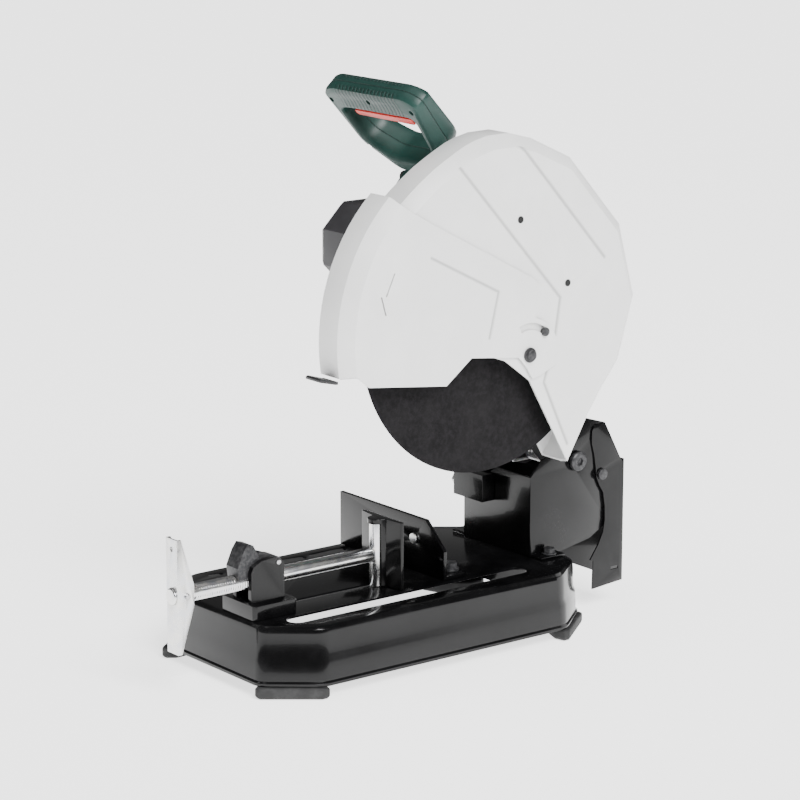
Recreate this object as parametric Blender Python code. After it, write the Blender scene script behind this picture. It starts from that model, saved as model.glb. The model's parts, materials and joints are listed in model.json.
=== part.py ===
"""Abrasive chop saw, 355 mm wheel.

Axes: +X is the operator's right, +Y the rear, +Z up. The origin is the middle of the overall box, on the
floor. Sizes below are in millimetres on the base's own plan (origin at the middle of the base pan); PLAN_Y
moves the whole machine so that its box is centred.
"""
import math

import bmesh
import bpy
from mathutils import Matrix, Vector

for old in list(bpy.data.objects):
    bpy.data.objects.remove(old, do_unlink=True)

MM = 0.001
PLAN_Y = 8.5             # plan offset that centres the overall box in Y

# ---- driving dimensions, mm ----
BASE_HW, BASE_HL = 141.3, 239.5      # base pan rim, half width and half length
BASE_TOP = 83.5                      # top plate height
RIM_Z = 14.0                         # underside of the pan's rim
SHEET = 2.5                          # base and stand sheet
WHEEL_X, WHEEL_R, WHEEL_T = 96.5, 177.5, 3.2
SPINDLE = (84.5, 393.8)              # wheel axis (Y, Z), head raised
MOTOR = (68.0, 460.0)                # motor axis (Y, Z)
PIVOT = (261.5, 194.0)               # head pivot axis (Y, Z)
COVER_PIVOT = (133.0, 354.0)         # front guard cover's bolt (Y, Z)
GUARD_BACK, GUARD_RIM, GUARD_FACE = 70.0, 106.0, 119.0     # fixed guard in X
COVER_BACK, COVER_RIM, COVER_FACE = 74.0, 109.0, 123.0     # front cover in X
SCREW_X, SCREW_Z = 40.0, 122.0       # vise screw axis
JAW_Y = -18.0                        # moving jaw's clamping face
FENCE_Y = 42.5                       # fence's clamping face
FENCE_PIN = (58.0, 66.0)             # fence pivot bolt (X, Y)
CHEEK_R, CHEEK_L = 62.0, -66.0       # stand's outer faces in X

model = bpy.data.collections.new("abrasive_chop_saw")
cutters = bpy.data.collections.new("cutters")
bpy.context.scene.collection.children.link(model)
bpy.context.scene.collection.children.link(cutters)


def at(x, y, z):
    """Plan millimetres to world metres."""
    return Vector((x * MM, (y - PLAN_Y) * MM, z * MM))


def keep(name, bm):
    """Store a closed bmesh as an object, normals outward."""
    bmesh.ops.recalc_face_normals(bm, faces=bm.faces)
    mesh = bpy.data.meshes.new(name)
    bm.to_mesh(mesh)
    bm.free()
    obj = bpy.data.objects.new(name, mesh)
    model.objects.link(obj)
    return obj


def put(axis, t, u, v):
    """A point with t along the axis and (u, v) in the plane across it."""
    return {"x": (t, u, v), "y": (u, t, v), "z": (u, v, t)}[axis]


def loft(name, rings):
    """Closed solid through rings of equal length, with flat ends."""
    bm = bmesh.new()
    rows = [[bm.verts.new(at(*p)) for p in ring] for ring in rings]
    bm.faces.new(rows[0])
    bm.faces.new(rows[-1])
    for low, high in zip(rows, rows[1:]):
        for i in range(len(low)):
            quad = [low[i - 1], low[i], high[i], high[i - 1]]
            p, q, r, t = (v.co for v in quad)
            if abs((q - p).cross(t - p).dot(r - p)) < 1e-12:
                bm.faces.new(quad)
            else:                    # twisted, so split into two flat faces
                bm.faces.new(quad[:3])
                bm.faces.new([quad[0], quad[2], quad[3]])
    return keep(name, bm)


def prism(name, axis, lo, hi, outline):
    """An outline extruded along an axis."""
    bm = bmesh.new()
    face = bm.faces.new([bm.verts.new(at(*put(axis, lo, u, v))) for u, v in outline])
    far = bmesh.ops.extrude_face_region(bm, geom=[face], use_keep_orig=True)
    bmesh.ops.translate(bm, vec=Vector(put(axis, (hi - lo) * MM, 0, 0)),
                        verts=[g for g in far["geom"] if isinstance(g, bmesh.types.BMVert)])
    return keep(name, bm)


def box(name, x, y, z):
    bm = bmesh.new()
    size = Vector((x[1] - x[0], y[1] - y[0], z[1] - z[0])) * MM
    middle = at(sum(x) / 2, sum(y) / 2, sum(z) / 2)
    bmesh.ops.create_cube(bm, size=1.0, matrix=Matrix.Translation(middle) @ Matrix.Diagonal((*size, 1.0)))
    return keep(name, bm)


def turned(name, axis, centre, profile, seg=48, start=0.0):
    """A profile of (along, radius) spun round an axis; radii of 0 close it on the axis."""
    bm = bmesh.new()
    c, s = math.cos(start), math.sin(start)
    line = [bm.verts.new(at(*put(axis, t, centre[0] + r * c, centre[1] + r * s))) for t, r in profile]
    pairs = list(zip(line, line[1:]))
    if profile[0][1] or profile[-1][1]:
        pairs.append((line[-1], line[0]))
    edges = [bm.edges.new(pair) for pair in pairs]
    bmesh.ops.spin(bm, geom=line + edges, cent=at(*put(axis, 0, *centre)), axis=Vector(put(axis, 1, 0, 0)),
                   angle=2 * math.pi, steps=seg, use_merge=True)
    bmesh.ops.remove_doubles(bm, verts=bm.verts, dist=1e-6)
    return keep(name, bm)


def disc(name, axis, centre, lo, hi, r, seg=48):
    """A cylinder along an axis."""
    bm = bmesh.new()
    turn = {"x": Matrix.Rotation(math.pi / 2, 4, "Y"), "y": Matrix.Rotation(-math.pi / 2, 4, "X"),
            "z": Matrix.Identity(4)}[axis]
    middle = Matrix.Translation(at(*put(axis, (lo + hi) / 2, *centre)))
    bmesh.ops.create_cone(bm, cap_ends=True, segments=seg, radius1=r * MM, radius2=r * MM,
                          depth=(hi - lo) * MM, matrix=middle @ turn)
    return keep(name, bm)


def ring(name, axis, centre, lo, hi, r, bore, seg=48):
    return turned(name, axis, centre, [(lo, bore), (lo, r), (hi, r), (hi, bore)], seg)


def hexagon(name, axis, centre, lo, hi, across, seg=6):
    return disc(name, axis, centre, lo, hi, across / math.sqrt(3), seg)


def boolean(obj, tools, operation):
    for tool in tools:
        model.objects.unlink(tool)
        cutters.objects.link(tool)
        tool.hide_render = True
        tool.display_type = "WIRE"
        mod = obj.modifiers.new(operation.lower(), "BOOLEAN")
        mod.operation = operation
        mod.solver = "EXACT"
        mod.object = tool
    return obj


def cut(obj, *tools):
    return boolean(obj, tools, "DIFFERENCE")


def fuse(obj, *tools):
    return boolean(obj, tools, "UNION")


def finish(obj, colour, rough, metal):
    mat = bpy.data.materials.new(obj.name)
    mat.use_nodes = True
    shader = mat.node_tree.nodes["Principled BSDF"]
    shader.inputs["Base Color"].default_value = (*colour, 1.0)
    shader.inputs["Roughness"].default_value = rough
    shader.inputs["Metallic"].default_value = metal
    obj.data.materials.clear()
    obj.data.materials.append(mat)
    return obj


def pivot_at(obj, x, y, z):
    """Move the origin onto a joint axis, leaving the shape in place."""
    p = at(x, y, z)
    obj.data.transform(Matrix.Translation(-p))
    obj.location = p


def polar(centre, r, deg):
    a = math.radians(deg)
    return centre[0] + r * math.cos(a), centre[1] + r * math.sin(a)


def toward(p, centre, amount):
    """Move a point towards a centre."""
    d = Vector((centre[0] - p[0], centre[1] - p[1]))
    d.normalize()
    return p[0] + d.x * amount, p[1] + d.y * amount


BLACK = ((0.012, 0.012, 0.013), 0.22, 0.0)
ZINC = ((0.72, 0.72, 0.70), 0.30, 1.0)
STEEL = ((0.55, 0.55, 0.56), 0.32, 1.0)
WHITE = ((0.84, 0.84, 0.82), 0.38, 0.0)
GREEN = ((0.012, 0.085, 0.065), 0.42, 0.0)
DARK = ((0.035, 0.035, 0.038), 0.50, 0.0)
RUBBER = ((0.02, 0.02, 0.02), 0.85, 0.0)

# ------------------------------------------------------------------ base pan
# pressed sheet pan, open below, chamfered corners, walls with a step half way up


def octagon(inset, z, cx=46.0, cy=58.0):
    w, h = BASE_HW - inset, BASE_HL - inset
    shrink = inset * 0.42
    a, b = cx - shrink, cy - shrink
    pts = [(w, -h + b), (w, h - b), (w - a, h), (-w + a, h), (-w, h - b), (-w, -h + b), (-w + a, -h),
           (w - a, -h)]
    out = []
    for i, p in enumerate(pts):          # each corner becomes a short arc of three points
        q0, q1 = pts[i - 1], pts[(i + 1) % 8]
        for q, k in ((q0, 9.0), (None, 0), (q1, 9.0)):
            if q is None:
                m0, m1 = toward(p, q0, 9.0), toward(p, q1, 9.0)
                mid = ((m0[0] + m1[0]) / 2, (m0[1] + m1[1]) / 2)
                out.append(((mid[0] + p[0]) / 2, (mid[1] + p[1]) / 2, z))
            else:
                out.append((*toward(p, q, k), z))
    return out


WALL = [(0.0, RIM_Z), (0.0, 17.5), (2.0, 19.5), (2.8, 43.0), (5.0, 49.5), (5.6, 74.0), (6.6, 79.5),
        (9.0, 82.6), (12.0, BASE_TOP)]
outer = [octagon(i, z) for i, z in WALL]
inner = [octagon(i + SHEET, z) for i, z in ((9.5, BASE_TOP - SHEET), (5.0, 76.0), (4.6, 50.0), (2.4, 44.0),
                                            (1.6, 21.0), (0.0, RIM_Z))]
inner.append(octagon(SHEET, RIM_Z - 4.0))
base_pan = cut(loft("base_pan", outer), loft("cut_pan", inner))


def slot(name, x, y0, y1, half, z0=BASE_TOP - 8, z1=BASE_TOP + 4):
    pts = []
    for i in range(9):
        a = math.pi + math.pi * i / 8
        pts.append((x + half * math.cos(a), y0 + half + half * math.sin(a)))
    for i in range(9):
        a = math.pi * i / 8
        pts.append((x + half * math.cos(a), y1 - half + half * math.sin(a)))
    return prism(name, "z", z0, z1, pts)


cut(base_pan,
    slot("cut_kerf", WHEEL_X - 1.5, -197.0, 152.0, 12.5),
    slot("cut_guide", 34.0, -170.0, -6.0, 4.0),
    slot("cut_side_1", -111.0, -165.0, -146.0, 5.0),
    slot("cut_side_2", -108.0, -74.0, -26.0, 7.0),
    slot("cut_side_3", -108.0, -20.0, 34.0, 7.0))
finish(base_pan, *BLACK)

# ------------------------------------------------------------------ rubber feet
FOOT_TOP = RIM_Z - 0.3
for tag, sx, sy in (("front_right", 1, -1), ("front_left", -1, -1), ("rear_right", 1, 1), ("rear_left", -1, 1)):
    w, h = BASE_HW + 3.0, BASE_HL + 3.0
    plan = [(w - 52, h), (w - 60, h - 10), (w - 60, h - 28), (w - 34, h - 66), (w - 14, h - 72), (w, h - 68),
            (w, h - 60), (w - 46, h)]
    plan = [(sx * px, sy * py) for px, py in plan]
    small = [toward(p, (sx * (w - 36), sy * (h - 38)), 3.0) for p in plan]
    foot = loft("foot_" + tag, [[(*p, 0.0) for p in small], [(*p, 3.0) for p in plan],
                                [(*p, FOOT_TOP - 1.5) for p in plan], [(*p, FOOT_TOP) for p in small]])
    finish(foot, *RUBBER)

# ------------------------------------------------------------------ pivot stand
# folded sheet U: front plate, two cheeks and outward foot flanges
STAND_Y = 188.0
ST = 3.0
FLOOR = BASE_TOP + 0.3
front = [(CHEEK_L, FLOOR), (CHEEK_R, FLOOR), (CHEEK_R, 184.0), (-4.0, 184.0), (CHEEK_L, 142.0)]
stand = prism("pivot_stand", "y", STAND_Y, STAND_Y + ST, front)
cheek = [(STAND_Y, FLOOR), (240.0, FLOOR), (284.0, 92.0), (313.0, 108.0), (313.0, 160.0), (307.0, 236.0),
         (272.0, 247.0), (238.0, 214.0), (206.0, 203.0), (STAND_Y, 184.0)]
cheek_left = [(STAND_Y, FLOOR), (240.0, FLOOR), (284.0, 92.0), (313.0, 108.0), (313.0, 160.0), (307.0, 236.0),
              (272.0, 247.0), (238.0, 214.0), (206.0, 180.0), (STAND_Y, 142.0)]
fuse(stand,
     prism("add_cheek_r", "x", CHEEK_R - ST, CHEEK_R, cheek),
     prism("add_cheek_l", "x", CHEEK_L, CHEEK_L + ST, cheek_left),
     box("add_flange_r", (CHEEK_R - 1, CHEEK_R + 19), (STAND_Y + 3, 228.0), (FLOOR, FLOOR + ST)),
     box("add_flange_l", (CHEEK_L - 26, CHEEK_L + 1), (STAND_Y + 3, 228.0), (FLOOR, FLOOR + ST)))
cut(stand,
    disc("cut_pivot", "x", PIVOT, CHEEK_L - 5, CHEEK_R + 5, 8.3),
    disc("cut_sh_r1", "x", (300.0, 172.0), CHEEK_R - 8, CHEEK_R + 5, 4.3, 24),
    disc("cut_sh_l1", "x", (300.0, 172.0), CHEEK_L - 5, CHEEK_L + 8, 4.3, 24),
    disc("cut_fl_r", "z", (72.0, 210.0), FLOOR - 2, FLOOR + 6, 4.6, 24),
    disc("cut_fl_l", "z", (-80.0, 210.0), FLOOR - 2, FLOOR + 6, 4.6, 24))
finish(stand, *BLACK)
for tag, x in (("right", 72.0), ("left", -80.0)):
    bolt = hexagon("flange_bolt_" + tag, "z", (x, 210.0), FLOOR + ST + 2.1, FLOOR + ST + 8.0, 13.0)
    fuse(bolt, disc("add_washer_" + tag, "z", (x, 210.0), FLOOR + ST + 0.3, FLOOR + ST + 2.2, 9.0, 24),
         disc("add_shank_" + tag, "z", (x, 210.0), FLOOR + 0.2, FLOOR + ST + 1.0, 4.0, 24))
    finish(bolt, *ZINC)

# ------------------------------------------------------------------ rear spark shroud
# folded sheet U behind the stand; it hangs below the top of the base behind the rear wall
SHROUD_Y = 337.0
side = [(289.0, 62.0), (284.0, 64.0), (297.0, 82.0), (304.5, 97.0), (307.0, 112.0), (306.5, 130.0),
        (303.5, 148.0), (297.0, 158.0), (292.5, 168.0), (291.0, 180.0), (288.0, 198.0), (284.0, 212.0),
        (284.0, 228.0), (288.0, 236.0), (305.0, 236.0), (316.0, 216.0), (SHROUD_Y - 6, 188.0),
        (SHROUD_Y, 180.0), (SHROUD_Y, 30.0), (288.0, 26.0)]
SH_R, SH_L = CHEEK_R + 0.3, CHEEK_L - 0.3
shroud = prism("spark_shroud", "x", SH_R, SH_R + 2.0, side)
fuse(shroud,
     prism("add_shroud_l", "x", SH_L - 2.0, SH_L, side),
     box("add_shroud_back", (SH_L - 2.0, SH_R + 2.0), (SHROUD_Y - 2.0, SHROUD_Y), (30.0, 186.0)))
cut(shroud,
    disc("cut_shr_bolts", "x", (300.0, 172.0), SH_L - 6, SH_R + 6, 4.3, 24),
    box("cut_shr_slot", (SH_R - 3, SH_R + 5), (318.0, 330.0), (46.0, 50.0)))
finish(shroud, *BLACK)
for tag, s, face in (("right", 1, SH_R + 2.0), ("left", -1, SH_L - 2.0)):
    bolt = disc("shroud_bolt_" + tag, "x", (300.0, 172.0), face + s * 0.3, face + s * 4.0, 7.0, 24)
    fuse(bolt, disc("add_sb_" + tag, "x", (300.0, 172.0), face - s * 12.0, face + s * 1.0, 4.0, 24),
         hexagon("add_sn_" + tag, "x", (300.0, 172.0), face - s * 12.0, face - s * 5.7, 13.0))
    finish(bolt, *ZINC)

# ------------------------------------------------------------------ pivot shaft, circlip, spring
shaft = turned("pivot_shaft", "x", PIVOT, [(CHEEK_L - 9.0, 0), (CHEEK_L - 9.0, 7.0), (CHEEK_L - 8.0, 8.0),
                                         (CHEEK_L - 5.6, 8.0), (CHEEK_L - 5.6, 6.6), (CHEEK_L - 3.6, 6.6),
                                         (CHEEK_L - 3.6, 8.0), (CHEEK_R + 0.3, 8.0), (CHEEK_R + 0.3, 12.0),
                                         (CHEEK_R + 5.0, 12.0), (CHEEK_R + 6.5, 10.0), (CHEEK_R + 6.5, 0)], 32)
cut(shaft, disc("cut_hex", "x", PIVOT, CHEEK_R + 3.5, CHEEK_R + 8.0, 5.0, 6))
finish(shaft, *ZINC)
clip = ring("shaft_circlip", "x", PIVOT, CHEEK_L - 5.2, CHEEK_L - 4.0, 11.5, 6.9, 40)
cut(clip, box("cut_clip", (CHEEK_L - 8, CHEEK_L), (PIVOT[0] - 3, PIVOT[0] + 3), (PIVOT[1] - 16, PIVOT[1])))
finish(clip, *STEEL)

curve = bpy.data.curves.new("return_spring", "CURVE")
curve.dimensions = "3D"
curve.bevel_depth = 1.7 * MM
curve.bevel_resolution = 1
curve.use_fill_caps = True
spline = curve.splines.new("POLY")
COIL_R, COIL_X0, COIL_X1, TURNS, STEP = 12.4, -24.0, 12.0, 6, 14
points = [(COIL_X0, PIVOT[0] - COIL_R - 30.0, PIVOT[1] - 12.4), (COIL_X0, PIVOT[0] - 8, PIVOT[1] - 12.4)]
for i in range(TURNS * STEP + 1):
    a = -math.pi / 2 + 2 * math.pi * i / STEP
    points.append((COIL_X0 + (COIL_X1 - COIL_X0) * i / (TURNS * STEP),
                   PIVOT[0] + COIL_R * math.cos(a), PIVOT[1] + COIL_R * math.sin(a)))
points.append((COIL_X1, PIVOT[0] - 22, PIVOT[1] - 12.4))
spline.points.add(len(points) - 1)
for i, p in enumerate(points):
    spline.points[i].co = (*at(*p), 1.0)
spring = bpy.data.objects.new("return_spring", curve)
model.objects.link(spring)
finish(spring, *ZINC)

# ------------------------------------------------------------------ depth stop on the stand's front plate
stop = prism("stop_bracket", "x", -62.0, -6.0, [(168.0, 142.0), (STAND_Y - 0.3, 142.0), (STAND_Y - 0.3, 176.0),
                                               (168.0, 176.0)])
cut(stop, disc("cut_stop", "x", (177.0, 159.0), -70.0, -40.0, 4.3, 24))
finish(stop, *BLACK)
stop_bolt = hexagon("stop_bolt", "x", (177.0, 159.0), -68.4, -62.3, 13.0)
fuse(stop_bolt, disc("add_stop_shank", "x", (177.0, 159.0), -63.0, -42.0, 4.0, 24))
finish(stop_bolt, *ZINC)

# ------------------------------------------------------------------ vise bracket: foot and two ears
EAR = (12.0, 18.5)                   # ear faces either side of the screw axis
LEVER_PIN = (-184.0, 143.0)
bracket = prism("vise_bracket", "z", FLOOR, FLOOR + 17.0,
                [(SCREW_X - 34, -225.0), (SCREW_X - 30, -229.0), (SCREW_X + 30, -229.0), (SCREW_X + 34, -225.0),
                 (SCREW_X + 34, -172.0), (SCREW_X + 30, -168.0), (SCREW_X - 30, -168.0), (SCREW_X - 34, -172.0)])
ear = [(-222.0, 96.0), (-176.0, 96.0), (-176.0, 141.0), (-181.0, 147.0), (-190.0, 150.0), (-208.0, 148.0),
       (-219.0, 142.0), (-222.0, 136.0)]
fuse(bracket,
     prism("add_ear_r", "x", SCREW_X + EAR[0], SCREW_X + EAR[1], ear),
     prism("add_ear_l", "x", SCREW_X - EAR[1], SCREW_X - EAR[0], ear))
cut(bracket,
    disc("cut_cradle", "y", (SCREW_X, SCREW_Z), -240.0, -160.0, 10.6, 40),
    disc("cut_lever_pin", "x", LEVER_PIN, SCREW_X - 25, SCREW_X + 25, 3.3, 20))
finish(bracket, *BLACK)
lever_pin = disc("lever_pin", "x", LEVER_PIN, SCREW_X - 19.5, SCREW_X + 19.5, 3.0, 20)
finish(lever_pin, *ZINC)

# quick-release lever: a yoke over the screw, held between the ears
lever = prism("release_lever", "x", SCREW_X - 11.6, SCREW_X + 11.6,
              [(-234.0, 128.0), (-176.5, 128.0), (-176.5, 146.0), (-184.0, 149.0), (-206.0, 151.0),
               (-214.0, 166.0), (-222.0, 168.0), (-228.0, 160.0), (-236.0, 142.0)])
cut(lever,
    disc("cut_lever_screw", "y", (SCREW_X, SCREW_Z), -245.0, -160.0, 10.6, 40),
    box("cut_lever_heel", (SCREW_X - 15, SCREW_X + 15), (-197.0, -170.0), (120.0, 138.0)),
    disc("cut_lever_bore", "x", LEVER_PIN, SCREW_X - 25, SCREW_X + 25, 3.3, 20))
finish(lever, (0.09, 0.09, 0.095), 0.4, 0.0)
pivot_at(lever, SCREW_X, *LEVER_PIN)

# ------------------------------------------------------------------ vise screw, crank and jaw
CRANK_Y = -319.0
THREAD = [(CRANK_Y - 1.0, 0), (CRANK_Y - 1.0, 8.5), (CRANK_Y, 9.7), (-292.0, 9.7)]
t = -291.0
while t < -172.0:                    # grooves stand in for the thread's helix
    THREAD += [(t, 9.9), (t + 3.2, 8.4), (t + 6.4, 9.9)]
    t += 8.0
THREAD += [(-171.0, 9.9), (-170.0, 9.0), (-40.0, 9.0), (-39.0, 8.0), (-38.9, 5.0), (-24.6, 5.0), (-24.0, 4.4),
           (-24.0, 0)]
screw = turned("vise_screw", "y", (SCREW_X, SCREW_Z), THREAD, 24)
cut(screw, disc("cut_pin_hole", "x", (-304.0, SCREW_Z), SCREW_X - 30, SCREW_X + 30, 3.3, 20))
finish(screw, *ZINC)
pivot_at(screw, SCREW_X, -304.0, SCREW_Z)

# zinc-plated U channel: web to the front, two flanges that are deepest at the screw
HALF, WEB = 67.0, 2.2
web = box("crank_bar", (SCREW_X - 11, SCREW_X + 11), (CRANK_Y + 1.6, CRANK_Y + 1.6 + WEB),
          (SCREW_Z - HALF, SCREW_Z + HALF))
flange = [(CRANK_Y + 1.6, SCREW_Z - HALF), (CRANK_Y + 7, SCREW_Z - HALF), (CRANK_Y + 24, SCREW_Z - 12),
          (CRANK_Y + 24, SCREW_Z + 12), (CRANK_Y + 7, SCREW_Z + HALF), (CRANK_Y + 1.6, SCREW_Z + HALF)]
fuse(web, prism("add_fl_r", "x", SCREW_X + 11 - WEB, SCREW_X + 11, flange),
     prism("add_fl_l", "x", SCREW_X - 11, SCREW_X - 11 + WEB, flange))
cut(web, disc("cut_web", "y", (SCREW_X, SCREW_Z), CRANK_Y - 2, CRANK_Y + 30, 10.15, 36),
    disc("cut_fl_pin", "x", (-304.0, SCREW_Z), SCREW_X - 30, SCREW_X + 30, 3.3, 20),
    disc("cut_knob", "y", (SCREW_X, SCREW_Z + HALF - 12), CRANK_Y - 2, CRANK_Y + 6, 3.0, 20))
finish(web, *ZINC)
pivot_at(web, SCREW_X, -304.0, SCREW_Z)
roll_pin = disc("crank_pin", "x", (-304.0, SCREW_Z), SCREW_X - 13.0, SCREW_X + 13.0, 3.0, 20)
finish(roll_pin, *STEEL)
pivot_at(roll_pin, SCREW_X, -304.0, SCREW_Z)

# moving jaw: a plate that swivels on a turned column, which the screw's end is held in
NOSE_Y = -30.0
JAW_TOP = 166.0
block = disc("swivel_block", "z", (SCREW_X, NOSE_Y), BASE_TOP + 0.8, JAW_TOP - 6.3, 8.2, 36)
cut(block, disc("cut_block", "y", (SCREW_X, SCREW_Z), -45.0, -23.6, 5.3, 24))
finish(block, *ZINC)
pivot_at(block, SCREW_X, NOSE_Y, SCREW_Z)
jaw_plan = [(SCREW_X + 10.5 * math.cos(a), NOSE_Y + 10.5 * math.sin(a))
            for a in [math.pi + math.pi * i / 14 for i in range(15)]]
jaw_plan += [(SCREW_X + 13, -25.5), (SCREW_X + 38, -22.5), (SCREW_X + 38, JAW_Y), (SCREW_X - 38, JAW_Y),
             (SCREW_X - 38, -22.5), (SCREW_X - 13, -25.5)]
jaw = prism("moving_jaw", "z", BASE_TOP + 0.8, JAW_TOP, jaw_plan)
cut(jaw, disc("cut_jaw_bore", "z", (SCREW_X, NOSE_Y), BASE_TOP - 4, JAW_TOP - 6.0, 8.5, 36),
    box("cut_jaw_front", (SCREW_X - 16, SCREW_X + 16), (-46.0, NOSE_Y - 1.0), (BASE_TOP - 4, JAW_TOP - 6.0)))
finish(jaw, *BLACK)
pivot_at(jaw, SCREW_X, NOSE_Y, SCREW_Z)

# ------------------------------------------------------------------ mitre fence
FX0, FX1 = -129.0, 77.0
fence = prism("fence", "y", FENCE_Y, FENCE_Y + 5.0,
              [(FX0, FLOOR), (FX1, FLOOR), (FX1, 119.0), (42.0, 151.0), (FX0, 151.0)])
fuse(fence, prism("add_fence_foot", "z", FLOOR, FLOOR + 5.0,
                  [(FX0, FENCE_Y + 1), (FX1, FENCE_Y + 1), (FX1, 74.0), (68.0, 84.0), (40.0, 84.0),
                   (-20.0, 74.0), (FX0, 74.0)]))
cut(fence, disc("cut_fence_pin", "z", FENCE_PIN, FLOOR - 2, FLOOR + 8, 5.3, 24),
    disc("cut_fence_face", "y", (20.0, 124.0), FENCE_Y - 2, FENCE_Y + 8, 4.3, 24))
finish(fence, *BLACK)
pivot_at(fence, *FENCE_PIN, FLOOR)
fence_pin = hexagon("fence_pivot_bolt", "z", FENCE_PIN, FLOOR + 8.0, FLOOR + 15.0, 17.0)
fuse(fence_pin, disc("add_fp_w", "z", FENCE_PIN, FLOOR + 5.3, FLOOR + 8.2, 11.5, 32),
     disc("add_fp_s", "z", FENCE_PIN, FLOOR + 0.2, FLOOR + 6.0, 5.0, 24))
finish(fence_pin, (0.03, 0.03, 0.03), 0.4, 0.6)
fence_bolt = disc("fence_face_bolt", "y", (20.0, 124.0), FENCE_Y - 2.8, FENCE_Y - 0.3, 6.5, 24)
fuse(fence_bolt, disc("add_ff_s", "y", (20.0, 124.0), FENCE_Y - 1.0, FENCE_Y + 11.0, 4.0, 24),
     hexagon("add_ff_n", "y", (20.0, 124.0), FENCE_Y + 5.3, FENCE_Y + 11.0, 13.0))
finish(fence_bolt, *ZINC)
pivot_at(fence_bolt, *FENCE_PIN, FLOOR)

# ------------------------------------------------------------------ arm and gear housing casting
# fork on the pivot shaft, cross web, and a housing round both gear axes that is open towards the motor
U = Vector((SPINDLE[0] - PIVOT[0], SPINDLE[1] - PIVOT[1])).normalized()
N = Vector((U.y, -U.x))              # across the arm, towards the rear


def arm(s, across):
    return PIVOT[0] + U.x * s + N.x * across, PIVOT[1] + U.y * s + N.y * across


def hull(circles, seg=40):
    """Outline of the convex hull of circles (centre, radius)."""
    pts = sorted((c[0] + r * math.cos(2 * math.pi * i / seg), c[1] + r * math.sin(2 * math.pi * i / seg))
                 for c, r in circles for i in range(seg))
    chains = []
    for order in (pts, pts[::-1]):
        chain = []
        for p in order:
            while len(chain) > 1 and ((chain[-1][0] - chain[-2][0]) * (p[1] - chain[-2][1])
                                      - (chain[-1][1] - chain[-2][1]) * (p[0] - chain[-2][0])) <= 1e-9:
                chain.pop()
            chain.append(p)
        chains.append(chain[:-1])
    return chains[0] + chains[1]


HOUSE_X = (10.0, 64.0)
casting = prism("arm_casting", "x", *HOUSE_X, hull([(SPINDLE, 66.0), (MOTOR, 60.0)]))
fuse(casting,
     prism("add_arm_r", "x", 22.0, 50.0, [arm(0, 21), arm(0, -21), arm(130, -21), arm(222, -40), arm(222, 40),
                                          arm(130, 21)]),
     prism("add_arm_l", "x", -56.0, -34.0, [arm(0, 21), arm(0, -21), arm(130, -21), arm(196, -21), arm(206, -12),
                                            arm(206, 12), arm(196, 21), arm(130, 21)]),
     prism("add_web", "x", -50.0, 40.0, [arm(110, -13), arm(190, -13), arm(190, 13), arm(110, 13)]),
     disc("add_hub_r", "x", PIVOT, 22.0, 50.0, 22.0, 40),
     disc("add_hub_l", "x", PIVOT, -56.0, -34.0, 22.0, 40),
     disc("add_nose", "x", SPINDLE, 60.0, 69.7, 34.0, 48))
cut(casting,
    prism("cut_gears", "x", HOUSE_X[0] - 4, 57.0, hull([(SPINDLE, 60.5), (MOTOR, 54.5)])),
    disc("cut_spindle", "x", SPINDLE, 50.0, 76.0, 11.5, 40),
    disc("cut_shaft", "x", PIVOT, -70.0, 60.0, 8.35, 40))
finish(casting, (0.05, 0.05, 0.052), 0.5, 0.0)
pivot_at(casting, 0.0, *PIVOT)
HEAD = [casting]

# ------------------------------------------------------------------ motor
motor = turned("motor_housing", "x", MOTOR, [(-83.7, 46.0), (-83.7, 53.0), (4.0, 53.0), (4.0, 8.3), (-4.0, 8.3),
                                           (-4.0, 46.0)], 56)
fuse(motor, cut(prism("add_flange", "x", 2.0, 9.7, hull([(SPINDLE, 66.0), (MOTOR, 60.0)])),
                disc("cut_flange", "x", MOTOR, 0.0, 12.0, 8.3, 56)),
     cut(box("add_boss", (-42.0, 9.7), (46.0, 100.0), (470.0, 522.0)),
         disc("cut_boss", "x", MOTOR, -44.0, 12.0, 51.0, 56)))
for i in range(5):                   # cooling fins along the underside and front
    a = 150 + 22 * i
    y0, z0 = polar(MOTOR, 51.5, a)
    y1, z1 = polar(MOTOR, 55.5, a)
    w = Vector((-math.sin(math.radians(a)), math.cos(math.radians(a)))) * 1.6
    fuse(motor, prism("add_fin_%d" % i, "x", -72.0, -8.0, [(y0 - w.x, z0 - w.y), (y1 - w.x, z1 - w.y),
                                                           (y1 + w.x, z1 + w.y), (y0 + w.x, z0 + w.y)]))
LOCK_AT = (84.5, 362.0)
cut(motor, disc("cut_lock", "x", LOCK_AT, -2.0, 14.0, 7.3, 32))
finish(motor, *GREEN)
pivot_at(motor, 0.0, *PIVOT)

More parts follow.
